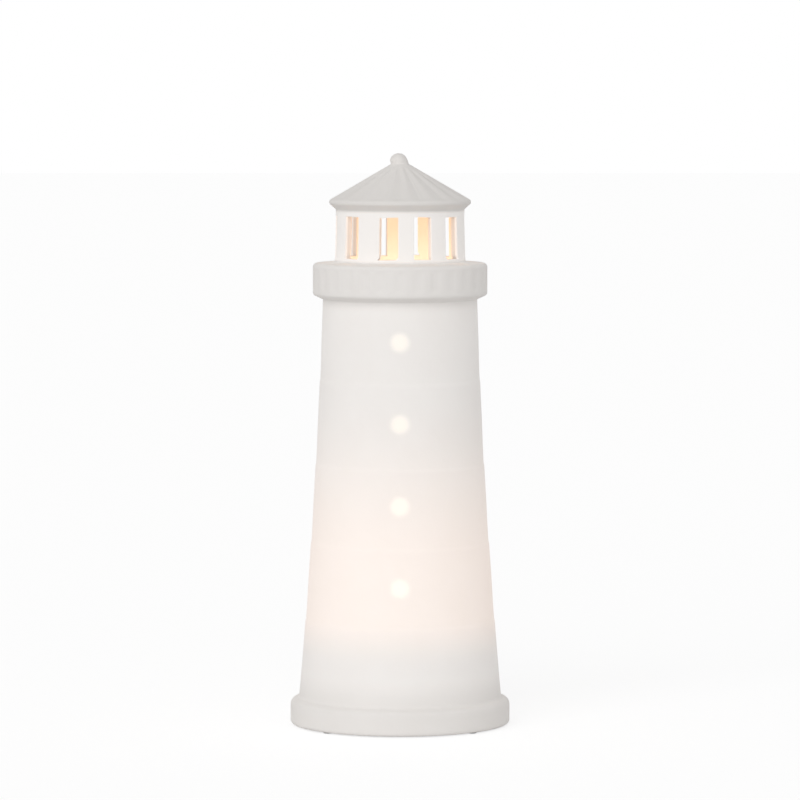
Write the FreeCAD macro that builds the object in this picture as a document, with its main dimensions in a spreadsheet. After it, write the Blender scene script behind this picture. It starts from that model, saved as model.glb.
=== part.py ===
import FreeCAD, Part
import math
import os
import re

import Sketcher

# A slip-cast porcelain lighthouse that is lit from inside. The porcelain stands over a lamp holder, which hangs
# in the hole of its floor by two leaf springs and carries an E14 LED lamp. The front is -Y, and z = 0 is the
# table. All sizes are in millimetres.

Vector = FreeCAD.Vector
Rotation = FreeCAD.Rotation
Placement = FreeCAD.Placement

SIZES = {
    # foot pads
    "pad_height": 1.0,
    "pad_radius": 2.6,
    # porcelain: foot
    "wall": 3.8,
    "foot_radius": 57.8,
    "foot_height": 12.5,
    "foot_round": 4.1,
    "foot_under_round": 2.4,
    "foot_rim": 7.8,
    "recess_depth": 11.0,
    "floor_thickness": 4.0,
    "floor_hole_radius": 25.5,
    # porcelain: tower
    "foot_ledge": 4.4,
    "tower_top_radius": 40.5,
    "tower_height": 210.7,
    "tower_hollow_radius": 3690.0,
    "port_radius": 3.15,
    "port_first": 78.0,
    "port_spacing": 41.7,
    "port_count": 4,
    # porcelain: gallery
    "gallery_radius": 45.8,
    "gallery_bevel": 1.8,
    "gallery_height": 18.4,
    "gallery_round": 1.5,
    "gallery_rise": 0.9,
    "panel_count": 30,
    "panel_width": 4.8,
    "panel_height": 10.0,
    "panel_depth": 0.4,
    "panel_lift": 4.3,
    # porcelain: lantern
    "lantern_foot_radius": 34.3,
    "lantern_top_radius": 33.6,
    "lantern_height": 28.1,
    "window_count": 10,
    "window_turn": 21.6,
    "window_width": 10.0,
    "window_height": 21.9,
    "window_sill": 1.8,
    # porcelain: roof and knob
    "eave_radius": 37.2,
    "eave_overhang_rise": 2.0,
    "eave_bevel": 0.9,
    "roof_edge_radius": 36.0,
    "roof_edge_rise": 4.4,
    "roof_rise": 16.9,
    "roof_wall": 4.3,
    "roof_rib_count": 18,
    "roof_rib_turn": -1.0,
    "rib_hollow_radius": 9.0,
    "rib_hollow_depth": 0.7,
    "knob_radius": 4.8,
    "knob_neck_radius": 4.2,
    # lamp holder
    "cover_lift": 1.6,
    "cover_thickness": 1.6,
    "case_radius": 32.0,
    "case_wall": 2.0,
    "flange_thickness": 1.8,
    "turret_radius": 23.5,
    "turret_height": 16.0,
    "turret_bore": 19.0,
    "shoulder_thickness": 2.0,
    "neck_radius": 13.8,
    "neck_bore": 12.0,
    "neck_height": 12.0,
    "neck_bore_depth": 7.0,
    "sleeve_radius": 11.0,
    "sleeve_bore": 9.2,
    "sleeve_clearance": 3.5,
    "boss_radius": 3.0,
    "cover_boss_inset": 4.8,
    "insert_boss_ring": 16.4,
    # cord inlet
    "cord_bore": 2.7,
    "bush_radius": 3.3,
    "bush_lip_radius": 3.9,
    "bush_lip": 1.6,
    "notch_clearance": 0.3,
    # insulating block and contacts
    "insert_radius": 20.7,
    "insert_thickness": 3.0,
    "insert_drop": 0.5,
    "fit_gap": 0.1,
    "screw_gap": 0.05,
    "post_radius": 1.5,
    "post_offset": 13.0,
    "terminal_length": 6.0,
    "terminal_width": 7.0,
    "terminal_height": 4.4,
    "wire_radius": 1.1,
    "terminal_screw_radius": 1.2,
    "terminal_screw_head": 1.9,
    "terminal_screw_head_height": 1.2,
    "shell_bore": 7.2,
    "shell_wall": 0.4,
    "shell_lip": 9.0,
    "shell_top_drop": 0.2,
    "shell_tab_width": 4.0,
    "shell_tab_thickness": 0.6,
    "leaf_thickness": 0.4,
    "leaf_width": 5.0,
    "leaf_tip": 2.6,
    "leaf_rise": 1.5,
    "leaf_bend": 10.0,
    # screws
    "screw_radius": 1.2,
    "screw_head_radius": 2.3,
    "screw_head_height": 1.1,
    "cover_screw_length": 6.2,
    "insert_screw_length": 9.0,
    # spring clips
    "clip_thickness": 0.4,
    "clip_width": 6.0,
    "clip_channel": 2.0,
    "clip_tooth": 17.0,
    "clip_tooth_drop": 1.5,
    "clip_tail": 1.8,
    "clip_slot_gap": 0.5,
    # lamp
    "tip_gap": 0.05,
    "tip_radius": 2.4,
    "tip_height": 1.2,
    "insulator_height": 2.2,
    "insulator_small": 4.8,
    "cap_small": 6.2,
    "cap_radius": 6.9,
    "cap_skirt_radius": 8.4,
    "cap_sheet": 0.3,
    "cap_thread_height": 16.1,
    "cap_skirt_height": 5.5,
    "cap_skirt_flare": 2.5,
    "housing_neck_radius": 8.9,
    "housing_radius": 21.2,
    "housing_height": 18.0,
    "housing_rim": 2.0,
    "housing_wall": 1.2,
    "housing_plug": 2.6,
    "sink_thickness": 1.2,
    "sink_skirt_radius": 15.0,
    "sink_skirt_height": 8.0,
    "sink_hole": 2.5,
    "led_board_radius": 17.4,
    "led_board_thickness": 1.2,
    "led_count": 8,
    "led_side": 3.0,
    "led_height": 0.7,
    "led_ring": 11.0,
    "dome_radius": 22.5,
    "dome_wall": 1.4,
    "dome_edge_radius": 19.9,
    "dome_bands": 5,
    "driver_width": 11.0,
    "driver_height": 25.0,
    "driver_board_thickness": 1.0,
    "capacitor_radius": 3.0,
    "capacitor_height": 9.0,
    "coil_radius": 3.0,
    "coil_height": 5.0,
    # cutters run past the face that they cut by this much
    "overcut": 1.0,
}

document = FreeCAD.newDocument("lighthouse_light")
sheet = document.addObject("Spreadsheet::Sheet", "Sizes")
for row, (alias, size) in enumerate(SIZES.items(), 1):
    sheet.set(f"A{row}", alias)
    sheet.set(f"B{row}", str(size))
    sheet.setAlias(f"B{row}", alias)
document.recompute()

# Radii that follow from the sizes.
TOWER_FOOT = "(foot_radius - foot_ledge)"
RECESS = "(foot_radius - foot_rim)"
BOSS_RING = "(case_radius - cover_boss_inset)"

# Heights that follow from the sizes, from the table up.
FOOT_BOTTOM = "pad_height"
FLOOR_UNDER = f"({FOOT_BOTTOM} + recess_depth)"
FLOOR_TOP = f"({FLOOR_UNDER} + floor_thickness)"
FOOT_TOP = f"({FOOT_BOTTOM} + foot_height)"
TOWER_TOP = f"({FOOT_TOP} + tower_height)"
GALLERY_TOP = f"({TOWER_TOP} + gallery_height)"
LANTERN_FOOT = f"({GALLERY_TOP} + gallery_rise)"
LANTERN_TOP = f"({LANTERN_FOOT} + lantern_height)"
ROOF_EDGE = f"({LANTERN_TOP} + roof_edge_rise)"
ROOF_TOP = f"({ROOF_EDGE} + roof_rise)"
ROOF_SLOPE = "(roof_rise / (roof_edge_radius - knob_neck_radius))"
KNOB_TOP = f"({ROOF_TOP} + knob_radius + sqrt(knob_radius^2 - knob_neck_radius^2))"

COVER_TOP = "(cover_lift + cover_thickness)"
FLANGE_UNDER = f"({FLOOR_UNDER} - flange_thickness)"
CORD_HEIGHT = f"(({COVER_TOP} + {FLANGE_UNDER}) / 2)"
NOTCH_RADIUS = "(bush_lip_radius + notch_clearance)"
TURRET_TOP = f"({FLOOR_UNDER} + turret_height)"
SHOULDER_UNDER = f"({TURRET_TOP} - shoulder_thickness)"
NECK_TOP = f"({TURRET_TOP} + neck_height)"
NECK_STEP = f"({NECK_TOP} - neck_bore_depth)"
INSERT_BOTTOM = f"({FLOOR_UNDER} - insert_drop)"
INSERT_TOP = f"({INSERT_BOTTOM} + insert_thickness)"
SLEEVE_BOTTOM = f"({INSERT_TOP} + sleeve_clearance)"
TERMINAL_BOTTOM = f"({INSERT_BOTTOM} - terminal_height)"
CLIP_FLAT = "(turret_radius - clip_channel)"
CLIP_TAB = f"({TURRET_TOP} + fit_gap)"
CLIP_REACH = "(sqrt(floor_hole_radius^2 - (clip_width / 2)^2) - fit_gap)"
CLIP_BULGE = f"({FLOOR_UNDER} + 0.6 * floor_thickness)"

TIP_BOTTOM = f"({INSERT_TOP} + leaf_rise + leaf_thickness + tip_gap)"
TIP_TOP = f"({TIP_BOTTOM} + tip_height)"
CAP_BOTTOM = f"({TIP_TOP} + insulator_height)"
CAP_THREAD_TOP = f"({CAP_BOTTOM} + cap_thread_height)"
CAP_TOP = f"({CAP_THREAD_TOP} + cap_skirt_height)"
HOUSING_TOP = f"({CAP_TOP} + housing_height + housing_rim)"
SINK_TOP = f"({HOUSING_TOP} - led_board_thickness - led_height / 2)"
SINK_UNDER = f"({SINK_TOP} - sink_thickness)"
DOME_CENTRE = f"({HOUSING_TOP} + sqrt(dome_radius^2 - dome_edge_radius^2))"
DRIVER_TOP = f"({SINK_UNDER} - fit_gap)"


def cells(text):
    """The same expression, with each size written as its cell in the sheet."""
    return re.sub(r"[a-z_]+", lambda word: "Sizes." + word[0] if word[0] in SIZES else word[0], text)


def value(text):
    """What an expression comes to, as a number."""
    return float(sheet.evalExpression(cells(text)))


def bind(thing, **sizes):
    for name, text in sizes.items():
        thing.setExpression(name, cells(text))


def new_body(label):
    body = document.addObject("PartDesign::Body", label)
    body.Label = label
    return body


def origin_part(body, role):
    return [part for part in body.Origin.OriginFeatures if part.Role == role][0]


def new_sketch(body, name, role, lift=None, turn=None):
    """An empty sketch on an origin plane, lifted along the plane's normal or turned about its upright."""
    sketch = body.newObject("Sketcher::SketchObject", name)
    sketch.AttachmentSupport = [(origin_part(body, role), "")]
    sketch.MapMode = "FlatFace"
    if turn:
        sketch.AttachmentOffset = Placement(Vector(), Rotation(Vector(0, 1, 0), value(turn)))
        sketch.setExpression("AttachmentOffset.Rotation.Angle", cells(turn))
    if lift:
        sketch.setExpression("AttachmentOffset.Base.z", cells(lift))
    return sketch


def arc_between(start, end, radius, side):
    """The shorter arc between two points, bulging to the right of the way along it where side is 1."""
    chord = end - start
    middle = (start + end) * 0.5
    across = Vector(chord.y, -chord.x, 0) * (side / chord.Length)
    height = radius - math.sqrt(max(radius**2 - (chord.Length / 2) ** 2, 0))
    if side < 0:
        start, end = end, start
    return Part.Arc(start, middle + across * height, end)


def outline(body, name, role, corners, **place):
    """A closed outline. A corner is (across, up), or (across, up, radius, side) where an arc leaves it."""
    sketch = new_sketch(body, name, role, **place)
    points = [Vector(value(corner[0]), value(corner[1]), 0) for corner in corners]
    count = len(corners)
    for i, corner in enumerate(corners):
        start = points[i]
        end = points[(i + 1) % count]
        if len(corner) == 4:
            sketch.addGeometry(arc_between(start, end, value(corner[2]), corner[3]), False)
        else:
            sketch.addGeometry(Part.LineSegment(start, end), False)
    edges = sketch.Geometry

    def end_at(i, point):
        return 1 if (edges[i].StartPoint - point).Length < 1e-5 else 2

    for i, corner in enumerate(corners):
        before = (i - 1) % count
        here = end_at(i, points[i])
        sketch.addConstraint(Sketcher.Constraint("Coincident", before, end_at(before, points[i]), i, here))
        for kind, at, text in (("DistanceX", points[i].x, corner[0]), ("DistanceY", points[i].y, corner[1])):
            number = sketch.addConstraint(Sketcher.Constraint(kind, i, here, at))
            sketch.setExpression(f"Constraints[{number}]", cells(text))
        if len(corner) == 4:
            number = sketch.addConstraint(Sketcher.Constraint("Radius", i, value(corner[2])))
            sketch.setExpression(f"Constraints[{number}]", cells(corner[2]))
    return sketch


def circle(body, name, role, across, up, radius, **place):
    sketch = new_sketch(body, name, role, **place)
    centre = Vector(value(across), value(up), 0)
    sketch.addGeometry(Part.Circle(centre, Vector(0, 0, 1), value(radius)), False)
    for constraint, text in (
        (Sketcher.Constraint("DistanceX", 0, 3, centre.x), across),
        (Sketcher.Constraint("DistanceY", 0, 3, centre.y), up),
        (Sketcher.Constraint("Radius", 0, value(radius)), radius),
    ):
        number = sketch.addConstraint(constraint)
        sketch.setExpression(f"Constraints[{number}]", cells(text))
    return sketch


def block(body, name, role, low, high, **place):
    """A rectangle from its lowest corner to its highest, each (across, up)."""
    corners = [(low[0], low[1]), (high[0], low[1]), (high[0], high[1]), (low[0], high[1])]
    return outline(body, name, role, corners, **place)


def turned(body, sketch, kind="Revolution"):
    """Revolves an outline about the upright axis: a Revolution adds, and a Groove cuts."""
    feature = body.newObject(f"PartDesign::{kind}", f"{kind}_{sketch.Name}")
    feature.Profile = sketch
    feature.ReferenceAxis = (origin_part(body, "Z_Axis"), [""])
    feature.Angle = 360
    document.recompute()
    return feature


def drawn(body, sketch, length, kind="Pad", towards=1, midplane=False):
    """Draws an outline out along its plane's normal, or against it: a Pad adds, and a Pocket cuts."""
    feature = body.newObject(f"PartDesign::{kind}", f"{kind}_{sketch.Name}")
    feature.Profile = sketch
    bind(feature, Length=length)
    feature.Midplane = midplane
    feature.Reversed = (towards < 0) if kind == "Pad" else (towards > 0)
    document.recompute()
    return feature


def ringed(body, feature, count):
    """Repeats a feature evenly about the upright axis."""
    pattern = body.newObject("PartDesign::PolarPattern", f"Ring_{feature.Name}")
    pattern.Originals = [feature]
    pattern.Axis = (origin_part(body, "Z_Axis"), [""])
    pattern.Angle = 360
    bind(pattern, Occurrences=count)
    body.Tip = pattern
    document.recompute()
    return pattern


def rounded(body, name, circles, radius, kind="Fillet"):
    """Rounds the edges of the body's last feature that are circles of a given radius at a given height."""
    base = body.Tip
    wanted = [(value(across), value(up)) for across, up in circles]
    names = []
    for number, edge in enumerate(base.Shape.Edges, 1):
        if edge.Degenerated or edge.Curve.TypeId != "Part::GeomCircle":
            continue
        for across, up in wanted:
            same = abs(edge.Curve.Radius - across) < 1e-3 and abs(edge.Curve.Center.z - up) < 1e-3
            if same and f"Edge{number}" not in names:
                names.append(f"Edge{number}")
    feature = body.newObject(f"PartDesign::{kind}", name)
    feature.Base = (base, names)
    bind(feature, **{"Radius" if kind == "Fillet" else "Size": radius})
    document.recompute()
    return feature


def cylinder(body, name, radius, bottom, height, across="0", back="0", kind="Pad"):
    """An upright cylinder, added or cut."""
    sketch = circle(body, name, "XY_Plane", across, back, radius, lift=bottom)
    return drawn(body, sketch, height, kind, towards=1)


# ---------------------------------------------------------------------------------------------- porcelain


def porcelain_outside(body):
    outside = outline(
        body,
        "outside",
        "XZ_Plane",
        [
            ("0", FOOT_BOTTOM),
            ("foot_radius", FOOT_BOTTOM),
            ("foot_radius", FOOT_TOP),
            (TOWER_FOOT, FOOT_TOP, "tower_hollow_radius", -1),
            ("tower_top_radius", TOWER_TOP),
            ("gallery_radius", f"{TOWER_TOP} + gallery_bevel"),
            ("gallery_radius", GALLERY_TOP),
            ("lantern_foot_radius", LANTERN_FOOT),
            ("lantern_top_radius", LANTERN_TOP),
            ("eave_radius", f"{LANTERN_TOP} + eave_overhang_rise"),
            ("eave_radius", f"{ROOF_EDGE} - eave_bevel"),
            ("roof_edge_radius", ROOF_EDGE),
            ("knob_neck_radius", ROOF_TOP, "knob_radius", 1),
            ("0", KNOB_TOP),
        ],
    )
    turned(body, outside)
    rounded(body, "foot_shoulder", [("foot_radius", FOOT_TOP)], "foot_round")
    rounded(body, "foot_under_edge", [("foot_radius", FOOT_BOTTOM)], "foot_under_round", "Chamfer")
    rounded(body, "gallery_edge", [("gallery_radius", GALLERY_TOP)], "gallery_round", "Chamfer")


def porcelain_inside(body):
    """The hollow that the slip leaves: it follows the outside at one wall's distance."""
    lantern_bore = "(lantern_top_radius - wall)"
    sag = f"((tower_height^2 + ({TOWER_FOOT} - tower_top_radius)^2) / (8 * tower_hollow_radius))"
    tower_middle = f"(({TOWER_FOOT} + tower_top_radius) / 2 - {sag})"
    inside = outline(
        body,
        "inside",
        "XZ_Plane",
        [
            ("0", FLOOR_TOP),
            (f"{TOWER_FOOT} - wall", FLOOR_TOP),
            (f"{tower_middle} - wall", f"({FLOOR_TOP} + {TOWER_TOP}) / 2"),
            ("tower_top_radius - wall", f"{TOWER_TOP} + gallery_bevel / 2"),
            ("gallery_radius - wall", f"{TOWER_TOP} + gallery_bevel + wall"),
            ("gallery_radius - wall", f"{GALLERY_TOP} - wall"),
            ("lantern_foot_radius - wall", f"{LANTERN_FOOT} - wall"),
            (lantern_bore, f"{ROOF_EDGE} + (roof_edge_radius - {lantern_bore}) * {ROOF_SLOPE} - roof_wall"),
            ("0", f"{ROOF_EDGE} + roof_edge_radius * {ROOF_SLOPE} - roof_wall"),
        ],
    )
    turned(body, inside, "Groove")
    underneath = outline(
        body,
        "underneath",
        "XZ_Plane",
        [
            ("0", f"{FOOT_BOTTOM} - overcut"),
            (RECESS, f"{FOOT_BOTTOM} - overcut"),
            (RECESS, FLOOR_UNDER),
            ("floor_hole_radius", FLOOR_UNDER),
            ("floor_hole_radius", f"{FLOOR_TOP} + overcut"),
            ("0", f"{FLOOR_TOP} + overcut"),
        ],
    )
    turned(body, underneath, "Groove")


def porcelain_openings(body):
    sill = f"({LANTERN_FOOT} + window_sill)"
    window = block(
        body,
        "window",
        "XZ_Plane",
        ("-window_width / 2", sill),
        ("window_width / 2", f"{sill} + window_height"),
        turn="window_turn",
    )
    ringed(body, drawn(body, window, "eave_radius", "Pocket"), "window_count")

    port = circle(body, "port", "XZ_Plane", "0", "port_first", "port_radius")
    first_port = drawn(body, port, "foot_radius", "Pocket")
    ports = body.newObject("PartDesign::LinearPattern", "ports")
    ports.Originals = [first_port]
    ports.Direction = (origin_part(body, "Z_Axis"), [""])
    bind(ports, Length="port_spacing * (port_count - 1)", Occurrences="port_count")
    body.Tip = ports
    document.recompute()

    notch = outline(
        body,
        "cord_notch",
        "XZ_Plane",
        [
            (NOTCH_RADIUS, f"{FOOT_BOTTOM} - overcut"),
            (NOTCH_RADIUS, CORD_HEIGHT, NOTCH_RADIUS, 1),
            ("0", f"{CORD_HEIGHT} + {NOTCH_RADIUS}", NOTCH_RADIUS, 1),
            (f"-{NOTCH_RADIUS}", CORD_HEIGHT),
            (f"-{NOTCH_RADIUS}", f"{FOOT_BOTTOM} - overcut"),
        ],
    )
    drawn(body, notch, "foot_radius + overcut", "Pocket", towards=-1)


def gallery_panels(body):
    """The shallow upright recesses that run round the gallery like railing."""
    bottom = f"({TOWER_TOP} + panel_lift)"
    panel = block(
        body,
        "panel",
        "XZ_Plane",
        ("-panel_width / 2", bottom),
        ("panel_width / 2", f"{bottom} + panel_height"),
        lift="gallery_radius - panel_depth",
    )
    ringed(body, drawn(body, panel, "panel_depth + overcut", "Pocket"), "panel_count")


def roof_ribs(body):
    """Shallow hollows scooped down the roof, which leave a soft rib between each two."""
    slope = math.degrees(math.atan(value(ROOF_SLOPE)))
    turn = value("roof_rib_turn")
    hollow = body.newObject("Sketcher::SketchObject", "rib_hollow")
    hollow.AttachmentSupport = [(origin_part(body, "XZ_Plane"), "")]
    hollow.MapMode = "FlatFace"
    reach = value("roof_edge_radius")
    drop = value(ROOF_EDGE)
    tilt = Rotation(Vector(0, 1, 0), turn).multiply(Rotation(Vector(1, 0, 0), slope))
    start = Rotation(Vector(0, 1, 0), turn).multVec(Vector(0, drop, reach))
    hollow.AttachmentOffset = Placement(start, tilt)
    centre = Vector(0, value("rib_hollow_radius - rib_hollow_depth"), 0)
    hollow.addGeometry(Part.Circle(centre, Vector(0, 0, 1), value("rib_hollow_radius")), False)
    for constraint, text in (
        (Sketcher.Constraint("DistanceX", 0, 3, 0.0), "0"),
        (Sketcher.Constraint("DistanceY", 0, 3, centre.y), "rib_hollow_radius - rib_hollow_depth"),
        (Sketcher.Constraint("Radius", 0, value("rib_hollow_radius")), "rib_hollow_radius"),
    ):
        number = hollow.addConstraint(constraint)
        hollow.setExpression(f"Constraints[{number}]", cells(text))
    scoop = drawn(body, hollow, "(roof_edge_radius - knob_neck_radius) * 0.8", "Pocket", towards=-1)
    ringed(body, scoop, "roof_rib_count")


def tower_casting():
    body = new_body("tower_casting")
    porcelain_outside(body)
    porcelain_inside(body)
    porcelain_openings(body)
    gallery_panels(body)
    roof_ribs(body)


def foot_pads():
    ring = f"(({RECESS} + foot_radius - foot_under_round) / 2)"
    for number, angle in enumerate((45, 135, 225, 315), 1):
        body = new_body(f"foot_pad_{number}")
        cylinder(body, "pad", "pad_radius", "0", "pad_height")
        rounded(body, "pad_edge", [("pad_radius", "0")], "pad_height / 3", "Chamfer")
        body.setExpression("Placement.Base.x", cells(f"{ring} * cos({angle})"))
        body.setExpression("Placement.Base.y", cells(f"{ring} * sin({angle})"))


# -------------------------------------------------------------------------------------------- lamp holder


def holder_body():
    body = new_body("holder_body")
    section = outline(
        body,
        "section",
        "XZ_Plane",
        [
            ("case_radius", COVER_TOP),
            ("case_radius", FLOOR_UNDER),
            ("turret_radius", FLOOR_UNDER),
            ("turret_radius", TURRET_TOP),
            ("neck_radius", TURRET_TOP),
            ("neck_radius", NECK_TOP),
            ("neck_bore", NECK_TOP),
            ("neck_bore", NECK_STEP),
            ("sleeve_bore", NECK_STEP),
            ("sleeve_bore", SLEEVE_BOTTOM),
            ("sleeve_radius", SLEEVE_BOTTOM),
            ("sleeve_radius", SHOULDER_UNDER),
            ("turret_bore", SHOULDER_UNDER),
            ("turret_bore", INSERT_TOP),
            ("insert_radius + fit_gap", INSERT_TOP),
            ("insert_radius + fit_gap", FLANGE_UNDER),
            ("case_radius - case_wall", FLANGE_UNDER),
            ("case_radius - case_wall", COVER_TOP),
        ],
    )
    turned(body, section)
    rounded(body, "shoulder_edge", [("turret_radius", TURRET_TOP)], "case_wall / 2", "Chamfer")
    rounded(body, "rim_edge", [("neck_radius", NECK_TOP)], "(neck_radius - neck_bore) / 3", "Chamfer")

    cover_boss = cylinder(
        body, "cover_boss", "boss_radius", COVER_TOP, f"{FLANGE_UNDER} - {COVER_TOP}", "0", f"-{BOSS_RING}"
    )
    ringed(body, cover_boss, "3")
    cover_hole = cylinder(
        body,
        "cover_hole",
        "screw_radius + screw_gap",
        f"{COVER_TOP} - overcut",
        f"{FLANGE_UNDER} - {COVER_TOP} + overcut",
        "0",
        f"-{BOSS_RING}",
        kind="Pocket",
    )
    ringed(body, cover_hole, "3")

    insert_boss = cylinder(
        body, "insert_boss", "boss_radius", INSERT_TOP, f"{SHOULDER_UNDER} - {INSERT_TOP}", "0", "insert_boss_ring"
    )
    ringed(body, insert_boss, "2")
    insert_hole = cylinder(
        body,
        "insert_hole",
        "screw_radius + screw_gap",
        f"{INSERT_TOP} - overcut",
        "insert_screw_length",
        "0",
        "insert_boss_ring",
        kind="Pocket",
    )
    ringed(body, insert_hole, "2")

    half_channel = "(clip_width / 2 + clip_slot_gap)"
    channel = block(
        body,
        "clip_channel",
        "XY_Plane",
        (CLIP_FLAT, f"-{half_channel}"),
        ("turret_radius + overcut", half_channel),
        lift=FLOOR_UNDER,
    )
    ringed(body, drawn(body, channel, "turret_height + overcut", "Pocket"), "2")
    slot = block(
        body,
        "clip_slot",
        "XY_Plane",
        ("clip_tooth - clip_slot_gap", f"-{half_channel}"),
        ("clip_tooth + clip_thickness + clip_slot_gap / 2", half_channel),
        lift=f"{TURRET_TOP} - clip_tooth_drop - clip_slot_gap",
    )
    ringed(body, drawn(body, slot, "clip_tooth_drop + clip_slot_gap + overcut", "Pocket"), "2")

    inlet = circle(body, "inlet", "XZ_Plane", "0", CORD_HEIGHT, "bush_radius")
    inlet.setExpression("AttachmentOffset.Base.z", cells(f"-{BOSS_RING}"))
    drawn(body, inlet, f"case_radius - {BOSS_RING} + overcut", "Pocket", towards=-1)


def bottom_cover():
    body = new_body("bottom_cover")
    cylinder(body, "plate", "case_radius", "cover_lift", "cover_thickness")
    rounded(body, "under_edge", [("case_radius", "cover_lift")], "cover_thickness / 2", "Chamfer")
    for name, radius, height in (
        ("head_hole", "screw_head_radius + fit_gap", "screw_head_height + overcut"),
        ("shank_hole", "screw_radius + fit_gap", "cover_thickness + 2 * overcut"),
    ):
        hole = cylinder(
            body, name, radius, "cover_lift - overcut", height, "0", f"-{BOSS_RING}", kind="Pocket"
        )
        ringed(body, hole, "3")


def screw(label, places, under_head, length, head_radius, head_height, radius):
    """Like screws driven upwards, as one group of separate solids."""
    shanks = []
    for number, (across, back) in enumerate(places):
        head = document.addObject("Part::Cylinder", f"{label}_head_{number}")
        bind(head, Radius=head_radius, Height=head_height)
        head.setExpression("Placement.Base.z", cells(f"{under_head} - {head_height}"))
        shank = document.addObject("Part::Cylinder", f"{label}_shank_{number}")
        bind(shank, Radius=radius, Height=f"{length} + {head_height} / 2")
        shank.setExpression("Placement.Base.z", cells(f"{under_head} - {head_height} / 2"))
        for part in (head, shank):
            part.setExpression("Placement.Base.x", cells(across))
            part.setExpression("Placement.Base.y", cells(back))
        whole = document.addObject("Part::Fuse", f"{label}_{number}")
        whole.Base = head
        whole.Tool = shank
        shanks.append(whole)
    group = document.addObject("Part::Compound", label)
    group.Label = label
    group.Links = shanks
    document.recompute()


def cover_screws():
    places = [(f"{BOSS_RING} * cos({angle})", f"{BOSS_RING} * sin({angle})") for angle in (-90, 30, 150)]
    screw(
        "cover_screws",
        places,
        "(cover_lift + screw_head_height)",
        "cover_screw_length",
        "screw_head_radius",
        "screw_head_height",
        "screw_radius",
    )


def insert_screws():
    places = [("0", "insert_boss_ring"), ("0", "-insert_boss_ring")]
    screw(
        "insert_screws",
        places,
        INSERT_BOTTOM,
        "insert_screw_length",
        "screw_head_radius",
        "screw_head_height",
        "screw_radius",
    )


def terminal_insert():
    body = new_body("terminal_insert")
    cylinder(body, "disc", "insert_radius", INSERT_BOTTOM, "insert_thickness")
    rounded(body, "disc_edge", [("insert_radius", INSERT_BOTTOM)], "insert_thickness / 5", "Chamfer")
    for name, radius, across, back in (
        ("screw_hole", "screw_radius + fit_gap", "0", "insert_boss_ring"),
        ("post_hole", "post_radius + screw_gap", "post_offset", "0"),
    ):
        hole = cylinder(
            body,
            name,
            radius,
            f"{INSERT_BOTTOM} - overcut",
            "insert_thickness + 2 * overcut",
            across,
            back,
            kind="Pocket",
        )
        ringed(body, hole, "2")


def terminal(label, half_turn):
    """A brass block with a hole for the wire and a post through the insulating block."""
    body = new_body(label)
    brass = block(
        body,
        "brass",
        "XZ_Plane",
        ("post_offset - terminal_length / 2", TERMINAL_BOTTOM),
        ("post_offset + terminal_length / 2", INSERT_BOTTOM),
    )
    drawn(body, brass, "terminal_width", midplane=True)
    cylinder(body, "post", "post_radius", INSERT_BOTTOM, "insert_thickness", "post_offset")
    wire = circle(
        body,
        "wire_hole",
        "XZ_Plane",
        "post_offset",
        f"{TERMINAL_BOTTOM} + terminal_height / 2",
        "wire_radius",
    )
    drawn(body, wire, "terminal_width + overcut", "Pocket", midplane=True)
    cylinder(
        body,
        "screw_hole",
        "terminal_screw_radius + screw_gap",
        f"{TERMINAL_BOTTOM} - overcut",
        "terminal_height / 2 + overcut",
        "post_offset",
        kind="Pocket",
    )
    body.Placement = Placement(Vector(), Rotation(Vector(0, 0, 1), 180 * half_turn))


def terminal_screws():
    screw(
        "terminal_screws",
        [("post_offset", "0"), ("-post_offset", "0")],
        TERMINAL_BOTTOM,
        "terminal_height / 2 - wire_radius / 2",
        "terminal_screw_head",
        "terminal_screw_head_height",
        "terminal_screw_radius",
    )


def screw_shell():
    body = new_body("screw_shell")
    outer = "(shell_bore + shell_wall)"
    top = f"({NECK_STEP} - shell_top_drop)"
    bottom = f"({SLEEVE_BOTTOM} + fit_gap)"
    tube = outline(
        body,
        "tube",
        "XZ_Plane",
        [
            ("shell_bore", bottom),
            (outer, bottom),
            (outer, f"{top} - shell_wall"),
            ("shell_lip", f"{top} - shell_wall"),
            ("shell_lip", top),
            ("shell_bore", top),
        ],
    )
    turned(body, tube)
    tab = outline(
        body,
        "tab",
        "XZ_Plane",
        [
            ("shell_bore", INSERT_TOP),
            ("post_offset + post_radius", INSERT_TOP),
            ("post_offset + post_radius", f"{INSERT_TOP} + shell_tab_thickness"),
            (outer, f"{INSERT_TOP} + shell_tab_thickness"),
            (outer, f"{bottom} + overcut"),
            ("shell_bore", f"{bottom} + overcut"),
        ],
    )
    drawn(body, tab, "shell_tab_width", midplane=True)


def centre_contact():
    """A leaf that reaches from the live post to under the lamp's tip."""
    body = new_body("centre_contact")
    end = "(post_offset + post_radius)"
    leaf = outline(
        body,
        "leaf",
        "XZ_Plane",
        [
            (f"-{end}", INSERT_TOP),
            ("-leaf_bend", INSERT_TOP),
            ("-leaf_tip", f"{INSERT_TOP} + leaf_rise"),
            ("leaf_tip", f"{INSERT_TOP} + leaf_rise"),
            ("leaf_tip", f"{INSERT_TOP} + leaf_rise + leaf_thickness"),
            ("-leaf_tip", f"{INSERT_TOP} + leaf_rise + leaf_thickness"),
            ("-leaf_bend", f"{INSERT_TOP} + leaf_thickness"),
            (f"-{end}", f"{INSERT_TOP} + leaf_thickness"),
        ],
    )
    drawn(body, leaf, "leaf_width", midplane=True)


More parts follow.
